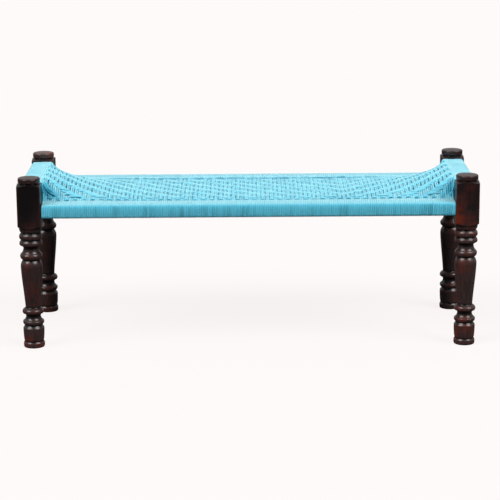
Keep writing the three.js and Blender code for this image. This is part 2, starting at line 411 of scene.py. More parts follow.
def cord_arrays(paths, outward, half_width, half_height):
    """Cords carried along paths: vertices, faces and a corner map.

    paths has one row of points for each cord, and outward the direction that each point's section takes as
    up. A section is an ellipse: half_width times the cosine along the side direction, which is square to
    the path and to outward, plus half_height times the sine along up. Both ends are closed. The map's U is
    the length along the cord and its V the share of the way round the section.
    """
    cords, stations, _ = paths.shape
    along = unit(np.gradient(paths, axis=1))
    side = unit(np.cross(along, outward))
    up = np.cross(side, along)
    angle = 2 * np.pi * np.arange(CORD_SIDES) / CORD_SIDES
    across = np.asarray(half_width)[..., None] * np.cos(angle)
    above = np.asarray(half_height)[..., None] * np.sin(angle)
    ring = across[..., None] * side[:, :, None] + above[..., None] * up[:, :, None]
    vertices = (paths[:, :, None] + ring).reshape(-1, 3)

    start = np.arange(cords)[:, None] * stations * CORD_SIDES
    skin = skin_faces(start + np.arange(stations - 1) * CORD_SIDES, CORD_SIDES)
    # An end's eight points are closed with three quads side by side
    lid = np.array([[0, 1, 2, 3], [0, 3, 4, 7], [4, 5, 6, 7]])
    first_lid = start[..., None] + lid[:, ::-1]
    last_lid = start[..., None] + (stations - 1) * CORD_SIDES + lid
    faces = np.concatenate([skin, first_lid.reshape(-1, 4), last_lid.reshape(-1, 4)])

    length = path_lengths(paths)
    u0 = np.repeat(length[:, :-1, None], CORD_SIDES, axis=2)
    u1 = np.repeat(length[:, 1:, None], CORD_SIDES, axis=2)
    v0 = np.broadcast_to(np.arange(CORD_SIDES) / CORD_SIDES, u0.shape)
    v1 = v0 + 1 / CORD_SIDES
    skin_map = np.stack([u0, v0, u0, v1, u1, v1, u1, v0], -1).reshape(-1, 2)
    lid_map = np.zeros((len(faces) * 4 - len(skin_map), 2))
    return vertices, faces, np.concatenate([skin_map, lid_map])


def wander(cords, stations, reach, rng, steps):
    """A smooth random drift for each cord: random steps spread over its length, joined by smooth cubics."""
    knots = rng.uniform(-reach, reach, (cords, steps))
    place = np.linspace(0, steps - 1, stations)
    left = np.clip(place.astype(int), 0, steps - 2)
    share = smooth_step(place - left, 0, 1)
    return mix(knots[:, left], knots[:, left + 1], share)


# Legs


def bend(start, points):
    """A line, or a Bezier curve with one or two bending points, from a start to the last of the points."""
    points = np.array([start, *points], float)
    degree = len(points) - 1
    t = np.linspace(0, 1, STRETCH_STEPS + 1)[1:, None]
    return sum(
        math.comb(degree, k) * t**k * (1 - t) ** (degree - k) * points[k] for k in range(degree + 1)
    )


def leg_outline(sizes, height, block_half):
    """The turning's outline as radius and height, from the floor's middle to the button's.

    The stretches are joined, spread out evenly by length and averaged over a millimetre, so that every
    edge has the small roundness that sanding and varnish leave.
    """
    block_top = sizes.shaft_height + sizes.block_height
    corner = block_half * math.sqrt(2)
    block = (
        ((corner, sizes.shaft_height + sizes.block_shoulder),),
        ((corner, block_top - BLOCK_TOP_SHOULDER),),
        ((SHAFT_SHARES[-1][-1][0] * sizes.turning_radius, block_top),),
    )
    outline = [np.zeros((1, 2))]
    for stretches, scale, floor in (
        (SHAFT_SHARES, (sizes.turning_radius, sizes.shaft_height), 0),
        (block, (1, 1), 0),
        (BUTTON_FOOT, (MM, MM), block_top),
        (BUTTON_HEAD, (MM, MM), height),
    ):
        for stretch in stretches:
            outline.append(bend(outline[-1][-1], np.array(stretch) * scale + (0, floor)))
    outline = np.concatenate(outline)
    length = path_lengths(outline)
    even = np.arange(0, length[-1], SAMPLE)
    fine = np.stack([np.interp(even, length, outline[:, k]) for k in (0, 1)], -1)
    reach = 3 * BELL_WIDTH
    bell = np.exp(-0.5 * (np.arange(-reach, reach + 1) / BELL_WIDTH) ** 2)
    padded = np.pad(fine, ((reach, reach), (0, 0)), mode="edge")
    soft = np.stack([np.convolve(padded[:, k], bell / bell.sum(), "valid") for k in (0, 1)], -1)
    # The first and last few samples, pulled in by the averaging, are left out
    soft = soft[3:-3:SAMPLES_PER_RING]
    soft[:, 1] = np.clip(soft[:, 1], 0, height)
    return soft


def square_radius(angle, block_half, edge):
    """How far a square with rounded corners reaches at an angle.

    Along a side it is the half side over the cosine. In a corner it is where the ray leaves the corner's
    circle, whose middle lies on the diagonal.
    """
    folded = np.abs((angle + np.pi / 4) % (np.pi / 2) - np.pi / 4)
    straight = block_half / np.cos(folded)
    diagonal = (block_half - edge) * math.sqrt(2)
    off = np.pi / 4 - folded
    rounded = diagonal * np.cos(off) + np.sqrt(np.maximum(edge**2 - (diagonal * np.sin(off)) ** 2, 0))
    return np.where(folded < math.atan((block_half - edge) / block_half), straight, rounded)


def leg_arrays(sizes, height, block_half):
    """A leg about the Z axis: vertices, faces, and how far each point is rubbed and how far it is sunk.

    The surface's radius at an angle is the smaller of the turned outline's and the square post's, with the
    edge between the two rounded: minus k times the log of the sum of exp(-radius / k), where k is CUT_EDGE.
    Beads and the block's upright edges are rubbed, and grooves are sunk.
    """
    outline = leg_outline(sizes, height, block_half)
    # Stations round a quarter turn, in degrees, closer together over the block's rounded edge
    eighth = np.concatenate([np.linspace(0, 36, 9)[:-1], np.linspace(36, 45, 7)])
    quarter = np.concatenate([eighth, 90 - eighth[-2:0:-1]])
    angle = np.radians(np.concatenate([quarter + turn for turn in (0, 90, 180, 270)]))
    turned = outline[:, 0][:, None]
    square = square_radius(angle, block_half, sizes.block_edge)[None]
    least = np.minimum(turned, square)
    over = np.exp((least - turned) / CUT_EDGE) + np.exp((least - square) / CUT_EDGE)
    # The first and last rings keep a small radius, and a fan of triangles closes each
    radius = np.maximum(least - CUT_EDGE * np.log(over), 0.2 * MM)
    rings, sides = radius.shape
    place = np.stack([np.cos(angle) * radius, np.sin(angle) * radius], -1)
    tall = np.broadcast_to(outline[:, 1][:, None, None], (rings, sides, 1))
    ends = np.array([[0, 0, outline[0, 1]], [0, 0, outline[-1, 1]]])
    vertices = np.concatenate([np.concatenate([place, tall], -1).reshape(-1, 3), ends])

    skin = skin_faces(np.arange(rings - 1) * sides, sides)
    turn = np.arange(sides)
    after = (turn + 1) % sides
    floor_fan = np.stack([np.full(sides, rings * sides), after, turn], -1)
    top = (rings - 1) * sides
    top_fan = np.stack([np.full(sides, rings * sides + 1), top + turn, top + after], -1)
    faces = skin.tolist() + floor_fan.tolist() + top_fan.tolist()

    # How far the outline stands above or below its own average, except near the middle of either end
    window = np.ones(2 * AVERAGE_RINGS + 1) / (2 * AVERAGE_RINGS + 1)
    average = np.convolve(np.pad(outline[:, 0], AVERAGE_RINGS, mode="edge"), window, "valid")
    stand = np.where(outline[:, 0] > 0.5 * sizes.turning_radius, outline[:, 0] - average, 0)
    stand = np.broadcast_to(stand[:, None], (rings, sides)) / FULL_STAND
    on_block = np.clip((turned - square) / POST_DEPTH, 0, 1)
    edge = np.clip((square - RUB_START) / RUB_LENGTH, 0, 1)
    raised = mix(BEAD_RUB * np.clip(stand, 0, 1), edge, on_block)
    sunk = np.clip(-stand, 0, 1) * (1 - on_block)
    at_ends = np.zeros(2)
    return vertices, faces, np.append(raised.ravel(), at_ends), np.append(sunk.ravel(), at_ends)


class BENCH_OT_turned_legs(bpy.types.Operator):
    """Adds the four turned legs"""

    bl_idname = "bench.turned_legs"
    bl_label = "Turned legs"

    def execute(self, context):
        sizes = context.scene.bench_sizes
        # How thin the stain is on each leg's foot, shaft, lower block, upper block and button
        thinness = {
            "front_left": (0.95, 0.3, 0.15, 0.0, 0.2),
            "front_right": (0.85, 0.5, 1.0, 0.22, 0.22),
            "back_left": (0.5, 0.22, 0.2, 0.5, 0.9),
            "back_right": (0.4, 0.25, 0.3, 0.25, 0.2),
        }
        wood = varnished_wood(context.scene.bench_colours)
        for corner, (foot, shaft, low_block, high_block, button) in thinness.items():
            node = f"leg_{corner}"
            centre = middle(node)
            block_half = half(node)[0]
            vertices, faces, raised, sunk = leg_arrays(sizes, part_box(node)[1][2], block_half)
            vertices = vertices + centre * (1, 1, 0)
            # Heights are shares of the shaft's height. The block runs from 1 to 1.36
            rise = vertices[:, 2] / sizes.shaft_height
            zones = (foot, foot, shaft, shaft, low_block, high_block, high_block, button)
            thin = np.interp(rise, (0, 0.2, 0.25, 1, 1.02, 1.15, 1.36, 1.37), zones)
            # The block is rubbed redder low down on the side towards the seat
            inward = np.clip((centre[0] - vertices[:, 0]) * np.sign(centre[0]) / block_half, 0, 1)
            thin = thin + low_block * inward * np.interp(rise, (1, 1.02, 1.1, 1.28), (0, 1, 1, 0))
            # Where the stain is thin its streaks are paler, partly as thin stain and partly as a painted
            # sheen of the varnish, which is weaker on the block
            on_lathe = np.interp(rise, (1, 1.02, 1.36, 1.37), (1, BLOCK_SHEEN_SHARE, BLOCK_SHEEN_SHARE, 1))
            thin_stain_and_sheen = np.clip(thin / PALE_STREAK_THINNESS, 0, 1) * on_lathe
            values = {"raised": raised, "sunk": sunk, "thin": thin, "thin_stain_and_sheen": thin_stain_and_sheen}
            add_piece(f"turned_leg_{corner}", [node], wood, vertices, faces, (), values)
        return {"FINISHED"}


# Rails and their wraps


class BENCH_OT_bare_rails(bpy.types.Operator):
    """Gives the four rails under the cord their bare wood"""

    bl_idname = "bench.bare_rails"
    bl_label = "Bare rails"

    def execute(self, context):
        wood = planed_wood(context.scene.bench_colours)
        for node in nodes_named("rail_"):
            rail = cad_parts[node]
            rail.data.materials.clear()
            rail.data.materials.append(wood)
        return {"FINISHED"}


def rounded_section(half_width, half_height, radius):
    """One turn round a rail's section, from the middle of its top: points, each with the outward direction
    there, and each one's share of the way round a rectangle with rounded corners.
    """
    flat = half_width - radius
    wall = half_height - radius
    quarter = np.linspace(0, np.pi / 2, 5)
    corners = []
    for turn, (x, y) in enumerate(((flat, wall), (flat, -wall), (-flat, -wall), (-flat, wall))):
        angle = np.pi / 2 - quarter - turn * np.pi / 2
        out = np.stack([np.cos(angle), np.sin(angle)], -1)
        corners.append(np.concatenate([np.array([x, y]) + radius * out, out], -1))
    top = np.array([[0, half_height, 0, 1]])
    points = np.concatenate([top, *corners, top])
    length = path_lengths(points[:, :2])
    return points, length / length[-1]


def wrap_arrays(half_length, section_half, turns, rng):
    """A cord wound round a rail: one long helix whose turns lie side by side.

    Its middle line goes round the section's outline once a turn, while it moves on along the rail by the
    length over the number of turns. Its ends are closed.
    """
    points, share = rounded_section(*(section_half - RAIL_CORD_HALF), WRAP_CORNER - RAIL_CORD_HALF)
    count = turns * TURN_STATIONS + 1
    turned = np.arange(count) / TURN_STATIONS
    # Stations sit closer together in the corners than on the flats
    spread = np.interp(np.linspace(0, 1, TURN_STATIONS + 1), np.linspace(0, 1, len(share)), share)
    inside = np.concatenate([np.tile(spread[:-1], turns), [1.0]])
    y, z, out_y, out_z = (np.interp(inside, share, points[:, k]) for k in range(4))
    pitch = 2 * half_length / turns
    every_turn = np.arange(turns + 1)
    stray = wander(1, count, TURN_STRAY, rng, 12)[0]
    stray = stray + np.interp(turned, every_turn, rng.uniform(-TURN_STRAY, TURN_STRAY, turns + 1))
    along = np.clip(-half_length + turned * pitch, pitch / 2 - half_length, half_length - pitch / 2)
    lift = np.interp(turned, every_turn, rng.uniform(*TURN_LIFT, turns + 1))
    path = np.stack([along + stray, y + lift * out_y, z + lift * out_z], -1)
    outward = np.stack([np.zeros(count), out_y, out_z], -1)
    return cord_arrays(path[None], outward[None], pitch / 2 + TURN_OVERLAP, RAIL_CORD_HALF)


class BENCH_OT_rail_wraps(bpy.types.Operator):
    """Winds the cord round the four rails"""

    bl_idname = "bench.rail_wraps"
    bl_label = "Rail wraps"

    def execute(self, context):
        cotton = cotton_cord(context.scene.bench_colours)
        rng = np.random.default_rng(11)
        for node in nodes_named("cord_wrap_"):
            along = "x" if half(node)[0] > half(node)[1] else "y"
            turns = long_turns() if along == "x" else end_turns()
            size = half(node) if along == "x" else half(node)[[1, 0, 2]]
            vertices, faces, uv = wrap_arrays(size[0], size[1:], turns, rng)
            if along == "y":
                vertices = vertices[:, [1, 0, 2]] * (-1, 1, 1)
            vertices = vertices + middle(node)
            # The dye drifts every third turn or so, and differs a little from one turn to the next
            drift = wander(1, turns + 1, 0.4, rng, turns // 3)[0]
            shade = 0.5 + drift + rng.uniform(-0.5, 0.5, turns + 1)
            tint = shade[np.arange(len(vertices)) // (CORD_SIDES * TURN_STATIONS)]
            # On top the turns' tints give way to one even tint, painted light for the evenly lit tops
            painted_top = PAINTED_TOP_SHARE * (1 - smooth_step(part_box(node)[1][2] - vertices[:, 2], *PAINTED_TOP_DEPTH))
            tint = mix(tint, PAINTED_TOP_TINT[along], painted_top)
            name = node.replace("cord_wrap", "rail_winding")
            add_piece(name, [node], cotton, vertices, faces, {"cord": uv}, {"tint": tint})
        return {"FINISHED"}


def long_turns():
    """Turns round a long rail: one for each crosswise cord."""
    return len(nodes_named("weft_band_")) * CORDS_IN_BAND


def end_turns():
    """Turns round an end rail: one for each lengthwise cord."""
    return len(nodes_named("warp_band_")) * CORDS_IN_BAND


# The woven seat


def film_height(x, y, drop):
    """The seat's middle surface: a film stretched between the low long rails and the high end rails.

    The share of the rise at a point is two over pi times the angle whose tangent is
    sin(pi times the distance from the side over the width) over
    sinh(pi times the distance from the end over the width).
    """
    half_length, half_width, low, high = web_edges()
    width = 2 * half_width
    from_end = np.maximum(half_length - np.abs(x), 0)
    from_side = np.maximum(half_width - np.abs(y), 0)
    across = np.sin(np.pi * from_side / width)
    along = np.sinh(np.pi * from_end / width)
    return mix(low - drop, high - END_DROP_SHARE * drop, np.arctan2(across, along) / (np.pi / 2))


def twill(crosswise, lengthwise, weft_bands, warp_bands):
    """1 where a crosswise pair lies over a lengthwise pair, and -1 where it lies under.

    Each crosswise pair goes over three lengthwise pairs and under three, and its neighbour does so one pair
    further on, which draws slanting lines. They turn back at the middle pair of one band. The outermost
    lengthwise pair on each side binds the edge: it goes under one crosswise pair and over the next.
    """
    turn = PAIRS_IN_BAND * round(TWILL_TURN_SHARE * weft_bands) + 1
    step = turn - np.abs(crosswise - turn)
    slanting = (lengthwise + step + PAIRS_IN_BAND - 1) % (2 * PAIRS_IN_BAND) < PAIRS_IN_BAND
    outermost = (lengthwise == 0) | (lengthwise == PAIRS_IN_BAND * warp_bands - 1)
    return np.where(np.where(outermost, crosswise % 2 == 0, slanting), 1.0, -1.0)


def pair_places(nodes, axis):
    """The middle line of each pair of cords in a row of bands, and their pitch."""
    middles = np.array([middle(node)[axis] for node in nodes])
    pitch = (middles[-1] - middles[0]) / (len(nodes) - 1) / PAIRS_IN_BAND
    return (middles[:, None] + PAIR_PLACE[::2] * pitch).ravel(), pitch


def rail_places(band, pitch, half_length):
    """Where a band's cords lie on a rail: each one beside the next, at the pitch of the wrap's turns."""
    return ((band * CORDS_IN_BAND + np.arange(CORDS_IN_BAND) + 0.5) * pitch - half_length)[:, None]


def station_places(crossed, pitch, landing):
    """Where a cord's sections stand: a quarter of a crossing apart in the weave, and closer over a rail."""
    edge = crossed[-1] + pitch / 2
    tail = np.linspace(edge, landing, 9)[1:]
    return np.concatenate([-tail[::-1], np.linspace(-edge, edge, 4 * len(crossed) + 1), tail])


def unevenly(over, rng):
    """How far each of a band's cords bends at the pairs that it crosses: each pair a little more or less."""
    return over * rng.uniform(*BEND_RANGE, (PAIRS_IN_BAND, over.shape[1])).repeat(2, axis=0)


def cord_levels(place, crossed, bends, flat):
    """Cords' levels along their length, from how far each bends at the crossed pairs.

    A cord is level as far as flat on either side of a crossed pair's middle, and a half wave of a sine from
    there to the next pair.
    """
    knots = np.stack([crossed - flat, crossed + flat], -1).ravel()
    level = np.array([np.interp(place, knots, np.repeat(cord, 2)) for cord in bends])
    return np.sin(np.pi / 2 * np.clip(level, -1, 1)) + np.clip(np.abs(level) - 1, 0, None) * np.sign(level)


def over_rail(height, place, start, edge, rail_top):
    """Cords' heights, raised from the seat onto a rail and sunk a little at their ends.

    The rise begins at start and is complete 8 mm past the rail's inner edge, level with the wrap's turns.
    """
    rise = smooth_step(np.abs(place), start, edge + 8 * MM)
    sink = smooth_step(np.abs(place), edge + 10 * MM, edge + END_REACH) * END_SINK
    return mix(height, rail_top - RAIL_CORD_HALF, rise) - sink + PLAY


def fan_share(x):
    """How far the lengthwise cords have spread out at a place: 0 in the seat and 1 on the end rail."""
    half_length = web_edges()[0]
    return smooth_step(np.abs(x), half_length - FAN_LENGTH, half_length + 4 * MM)


def corner_share(x, y):
    """1 in the seat's corners beside the posts, else 0: there the cords tangle and are painted in shade with
    the deep colour.
    """
    half_length, half_width, _, _ = web_edges()
    near_end = smooth_step(np.abs(x), half_length - CORNER_REACH, half_length - CORNER_EDGE)
    near_side = smooth_step(np.abs(y), half_width - CORNER_REACH, half_width - CORNER_EDGE)
    off_end_rail = 1 - smooth_step(np.abs(x), half_length - 6 * MM, half_length)
    off_long_rail = 1 - smooth_step(np.abs(y), half_width - CORNER_EDGE, half_width)
    return near_end * near_side * off_end_rail * off_long_rail * np.where(x < 0, 1, RIGHT_CORNER)


def add_band(name, node, cotton, place, wide, tall, tint, painted_shade):
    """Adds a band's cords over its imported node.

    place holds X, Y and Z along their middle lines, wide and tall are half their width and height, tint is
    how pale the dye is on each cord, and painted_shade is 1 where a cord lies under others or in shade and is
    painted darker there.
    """
    path = np.stack(np.broadcast_arrays(*place), -1)
    up = np.broadcast_to([0.0, 0.0, 1.0], path.shape)
    wide, tall = (np.broadcast_to(size, path.shape[:2]) for size in (wide, tall))
    vertices, faces, uv = cord_arrays(path, up, wide, tall)
    tint = tint.repeat(len(vertices) // CORDS_IN_BAND)
    values = {"tint": tint, "painted_shade": painted_shade.ravel().repeat(CORD_SIDES)}
    add_piece(name, [node], cotton, vertices, faces, {"cord": uv}, values)


class BENCH_OT_crosswise_cords(bpy.types.Operator):
    """Weaves the crosswise cords, which run over the long rails"""

    bl_idname = "bench.crosswise_cords"
    bl_label = "Crosswise cords"

    def execute(self, context):
        sizes = context.scene.bench_sizes
        cotton = cotton_cord(context.scene.bench_colours)
        rng = np.random.default_rng(23)
        wefts = nodes_named("weft_band_")
        pitch = pair_places(wefts, 0)[1]
        crossed, crossed_pitch = pair_places(nodes_named("warp_band_"), 1)
        _, half_width, rail_top, _ = web_edges()
        flat = 0.2 * MM
        # Random steps along a cord, for its stray and for its tangle in the corners
        strays, tangles = 16, 40
        y = station_places(crossed, crossed_pitch, half_width + END_REACH)
        off = np.abs(y)
        rail_half = half("cord_wrap_front")[0]
        rail_pitch = 2 * rail_half / long_turns()
        widest = 2 * half("cord_wrap_right")[1] / end_turns() / (crossed_pitch / 2)
        for i, node in enumerate(wefts):
            centre = middle(node)[0]
            fan = mix(1, widest, fan_share(centre))
            woven_edge = (crossed[-1] + crossed_pitch / 2) * fan
            # Near the posts, where the seat climbs, the cords spread out evenly sooner and are pressed wider
            climb = smooth_step(abs(centre), *CLIMB)
            settle_start = woven_edge - (5 + 9 * climb) * MM
            settle = smooth_step(off, settle_start, half_width + (2 - 4 * climb) * MM)
            starts, full = (woven_edge - inside for inside in PRESSED_PLACES)
            pressed = 1 + PRESSED_WIDER * climb * smooth_step(off, starts, full)
            in_pair = SIDE_OF_PAIR * (sizes.cord_width + PLAY)
            on_web = (centre + PAIR_PLACE * pitch)[:, None] + in_pair[:, None] * pressed
            # The two cords of a pair stray together more than apart
            stray = wander(PAIRS_IN_BAND, len(y), sizes.unevenness, rng, strays).repeat(2, axis=0)
            stray = stray + wander(CORDS_IN_BAND, len(y), sizes.unevenness / 5, rng, strays)
            x = mix(on_web + stray, rail_places(i, rail_pitch, rail_half), settle)
            corner = corner_share(x, y)
            x = x + wander(CORDS_IN_BAND, len(y), TANGLE, rng, tangles) * corner

            pair = (PAIRS_IN_BAND * i + PAIR_OF_CORD)[:, None]
            over = twill(pair, np.arange(len(crossed)), len(wefts), len(crossed) // PAIRS_IN_BAND)
            over = unevenly(over, rng)
            over[:, [0, -1]] *= EDGE_BEND
            level = cord_levels(y / fan, crossed, over, flat)
            # The rise and fall die away past the woven edge
            level = level * (1 - smooth_step(off, woven_edge - 1 * MM, woven_edge + 9 * MM))
            # The film is level from 6 mm inside the rail on
            height = film_height(x, np.clip(y, 6 * MM - half_width, half_width - 6 * MM), sizes.seat_drop)
            height = height + level * sizes.weave_rise
            height = height + wander(CORDS_IN_BAND, len(y), sizes.unevenness / 2, rng, strays)
            z = over_rail(height, y, half_width - 5 * MM, half_width, rail_top)
            wide = mix(sizes.cord_width / 2 * pressed, rail_pitch / 2, settle)
            tall = mix(sizes.cord_height / 2, RAIL_CORD_HALF, settle)

            tint = rng.uniform(0, 1, CORDS_IN_BAND)
            # In the corners the cords are painted in shade, more along some stretches than others
            shaded = corner * (1 + wander(CORDS_IN_BAND, len(y), 0.8, rng, tangles))
            # Between the woven part and the rail the cords lie low, and are painted in shade there, some
            # pairs more than others
            place = off - half_width + rng.uniform(-3 * MM, 3 * MM, (PAIRS_IN_BAND, 1)).repeat(2, axis=0)
            strip = smooth_step(place, STRIP_START, STRIP_FULL) * (1 - smooth_step(place, 0, STRIP_END))
            strip = strip * rng.uniform(0.1, 1, (PAIRS_IN_BAND, 1)).repeat(2, axis=0) * (1 - climb)
            # painted_shade: a cord is painted in shade where it passes under others, in the corners and in
            # the strip by the rail
            painted_shade = np.clip(np.maximum(np.maximum(-level, shaded), strip), 0, 1)
            name = node.replace("weft_band", "crosswise_cords")
            add_band(name, node, cotton, (x, y, z), wide, tall, tint, painted_shade)
        return {"FINISHED"}


class BENCH_OT_lengthwise_cords(bpy.types.Operator):
    """Weaves the lengthwise cords, which run over the end rails"""

    bl_idname = "bench.lengthwise_cords"
    bl_label = "Lengthwise cords"

    def execute(self, context):
        sizes = context.scene.bench_sizes
        cotton = cotton_cord(context.scene.bench_colours)
        rng = np.random.default_rng(37)
        warps = nodes_named("warp_band_")
        pitch = pair_places(warps, 1)[1]
        crossed, crossed_pitch = pair_places(nodes_named("weft_band_"), 0)
        half_length, _, _, rail_top = web_edges()
        flat = 1.2 * MM
        # Random steps along a cord, for its stray, for its pair's and for its tangle in the corners
        strays, bows, tangles = 40, 24, 120
        woven_edge = crossed[-1] + crossed_pitch / 2
        x = station_places(crossed, crossed_pitch, half_length + END_REACH)
        off = np.abs(x)
        rail_half = half("cord_wrap_right")[1]
        rail_pitch = 2 * rail_half / end_turns()
        settle = fan_share(x)
        # The cords of a pair touch, and widen towards the rail until they lie there edge to edge
        widen = smooth_step(off, half_length - WIDEN_LENGTH, half_length + 2 * MM)
        wide = mix(min(sizes.cord_width, pitch / 2) / 2, rail_pitch / 2, widen)
        tall = mix(sizes.cord_height / 2, RAIL_CORD_HALF, widen)
        in_pair = SIDE_OF_PAIR * min(sizes.cord_width + PLAY / 2, pitch / 2)
        for j, node in enumerate(warps):
            on_web = (middle(node)[1] + PAIR_PLACE * pitch + in_pair)[:, None]
            stray = wander(CORDS_IN_BAND, len(x), sizes.unevenness / 3, rng, strays)
            bow = wander(PAIRS_IN_BAND, len(x), sizes.unevenness, rng, bows).repeat(2, axis=0)
            y = mix(on_web + stray + bow, rail_places(j, rail_pitch, rail_half), settle)
            corner = corner_share(x, y)
            y = y + wander(CORDS_IN_BAND, len(x), LENGTHWISE_TANGLE, rng, tangles) * corner

            pair = (PAIRS_IN_BAND * j + PAIR_OF_CORD)[:, None]
            under = twill(np.arange(len(crossed)), pair, len(crossed) // PAIRS_IN_BAND, len(warps))
            outermost = (pair == 0) | (pair == PAIRS_IN_BAND * len(warps) - 1)
            under = unevenly(under, rng) * np.where(outermost, EDGE_BEND, 1)
            level = -cord_levels(x, crossed, under, flat)
            level = level * (1 - smooth_step(off, woven_edge - 1 * MM, woven_edge + 6 * MM))
            height = film_height(x, y, sizes.seat_drop) + level * sizes.weave_rise
            height = height + wander(CORDS_IN_BAND, len(x), sizes.unevenness / 3, rng, strays)
            height = height + wander(CORDS_IN_BAND, len(x), TANGLE, rng, tangles) * corner
            z = over_rail(height, x, woven_edge, half_length, rail_top)

            tint = rng.uniform(0, 1, CORDS_IN_BAND)
            # In the corners the cords are painted in shade, more along some stretches than others
            shaded = corner * (0.7 + wander(CORDS_IN_BAND, len(x), 1, rng, tangles))
            # painted_shade: a cord is painted in shade where it passes under others and in the corners
            painted_shade = np.clip(np.maximum(-level, shaded), 0, 1)
            name = node.replace("warp_band", "lengthwise_cords")
            add_band(name, node, cotton, (x, y, z), wide, tall, tint, painted_shade)
        return {"FINISHED"}


# Materials


def add_node(tree, kind, inputs=(), **settings):
    """Adds a node. settings are its own. Each input gets a value, a socket or another node's first output."""
    made = tree.nodes.new(kind)
    for name, value in settings.items():
        setattr(made, name, value)
    for key, value in dict(inputs).items():
        if isinstance(value, bpy.types.Node):
            value = value.outputs[0]
        if isinstance(value, bpy.types.NodeSocket):
            tree.links.new(value, made.inputs[key])
        else:
            made.inputs[key].default_value = value
    return made


def new_material(name):
    """An empty node material, and its tree."""
    material = bpy.data.materials.new(name)
    material.use_nodes = True
    material.node_tree.nodes.clear()
    return material, material.node_tree


def rgba(colour):
    """A colour with full alpha, for a socket."""
    return (*colour, 1.0)


def varnished_wood(colours):
    """Dark stained hardwood under satin varnish: near black in the grooves, mahogany red where it is rubbed.

    The varnish is a clear coat with small soft reflections. The stain follows the grain, which runs up the
    leg in streaks about 4 mm wide, drawn coarser than real pores so that they show, and lets the red through
    in patches about 45 mm wide. A point's values: raised where it is rubbed, sunk in the grooves, thin for
    how thin the stain is, with more than 1 rubbed through, and thin_stain_and_sheen for how pale its streaks
    are, partly from thin stain and partly a painted sheen of the varnish, weaker on the block.
    """
    material, tree = new_material("stained hardwood under varnish")
    place = add_node(tree, "ShaderNodeTexCoord").outputs["Object"]
    stretched = add_node(tree, "ShaderNodeMapping", {"Vector": place, "Scale": (1, 1, 0.06)})
    streaks = {"Vector": stretched, "Scale": 1 / (4 * MM), "Detail": 5, "Roughness": 0.6}
    patches = {"Vector": place, "Scale": 1 / (45 * MM), "Detail": 3, "Roughness": 0.55}
    grain = add_node(tree, "ShaderNodeTexNoise", streaks)
    patch = add_node(tree, "ShaderNodeTexNoise", patches)
    raised, sunk, thinness, thin_stain_and_sheen = (
        add_node(tree, "ShaderNodeAttribute", attribute_name=name).outputs["Fac"]
        for name in ("raised", "sunk", "thin", "thin_stain_and_sheen")
    )
    streak = add_node(
        tree,
        "ShaderNodeMapRange",
        {"Value": grain, "From Min": 0.25, "From Max": 0.7, "To Min": 0.45},
        interpolation_type="SMOOTHSTEP",
    )
    # Paler streaks stand partly for thin stain and partly for a painted sheen of the varnish
    streak = add_node(tree, "ShaderNodeMath", {0: streak, 1: thin_stain_and_sheen}, operation="MULTIPLY")
    deep, stain, red = (rgba(colour) for colour in (colours.stain_deep, colours.stain, colours.mahogany))
    stained = add_node(tree, "ShaderNodeMix", {0: streak, FIRST: deep, SECOND: stain}, data_type="RGBA")
    open_patch = add_node(
        tree,
        "ShaderNodeMapRange",
        {"Value": patch, "From Min": 0.44, "From Max": 0.78},
        interpolation_type="SMOOTHSTEP",
    )
    worn_edge = add_node(tree, "ShaderNodeMath", {0: raised, 1: 0.25}, operation="MULTIPLY")
    rubbed = add_node(tree, "ShaderNodeMapRange", {"Value": thinness, "From Min": 1, "From Max": 2})
    thin = add_node(tree, "ShaderNodeMath", {0: open_patch, 1: thinness}, operation="MULTIPLY")
    thin = add_node(tree, "ShaderNodeMath", {0: thin, 1: worn_edge}, operation="ADD")
    thin = add_node(tree, "ShaderNodeMath", {0: thin, 1: rubbed}, operation="ADD", use_clamp=True)
    warm = add_node(
        tree, "ShaderNodeMix", {0: thin, FIRST: stained.outputs[MIXED], SECOND: red}, data_type="RGBA"
    ).outputs[MIXED]
    colour = add_node(tree, "ShaderNodeMix", {0: sunk, FIRST: warm, SECOND: deep}, data_type="RGBA")
    inputs = {
        "Base Color": colour.outputs[MIXED],
        "Roughness": add_node(tree, "ShaderNodeMapRange", {"Value": grain, "To Min": 0.5, "To Max": 0.6}),
        "IOR": 1.45,
        "Specular IOR Level": 0.0,
        "Coat Weight": 0.85,
        "Coat Roughness": 0.27,
        "Normal": add_node(
            tree, "ShaderNodeBump", {"Height": grain, "Strength": 0.08, "Distance": 0.2 * MM}
        ),
    }
    shader = add_node(tree, "ShaderNodeBsdfPrincipled", inputs)
    add_node(tree, "ShaderNodeOutputMaterial", {"Surface": shader})
    return material


def planed_wood(colours):
    """Planed, unfinished hardwood: matt, with wavering grain lines along the rail.

    A wave's lines stand two pi times its length apart, which is about 19 mm before they are distorted.
    """
    material, tree = new_material("planed bare hardwood")
    place = add_node(tree, "ShaderNodeTexCoord").outputs["Object"]
    wave = {"Vector": place, "Scale": 1 / (20 * 3 * MM), "Distortion": 6, "Detail": 3}
    rings = add_node(tree, "ShaderNodeTexWave", wave, bands_direction="Z").outputs[1]
    bare = rgba(colours.bare_wood)
    dark = rgba(0.6 * level for level in colours.bare_wood)
    colour = add_node(tree, "ShaderNodeMix", {0: rings, FIRST: dark, SECOND: bare}, data_type="RGBA")
    inputs = {
        "Base Color": colour.outputs[MIXED],
        "Roughness": 0.75,
        "IOR": 1.5,
        "Normal": add_node(
            tree, "ShaderNodeBump", {"Height": rings, "Strength": 0.3, "Distance": 0.2 * MM}
        ),
    }
    shader = add_node(tree, "ShaderNodeBsdfPrincipled", inputs)
    add_node(tree, "ShaderNodeOutputMaterial", {"Surface": shader})
    return material


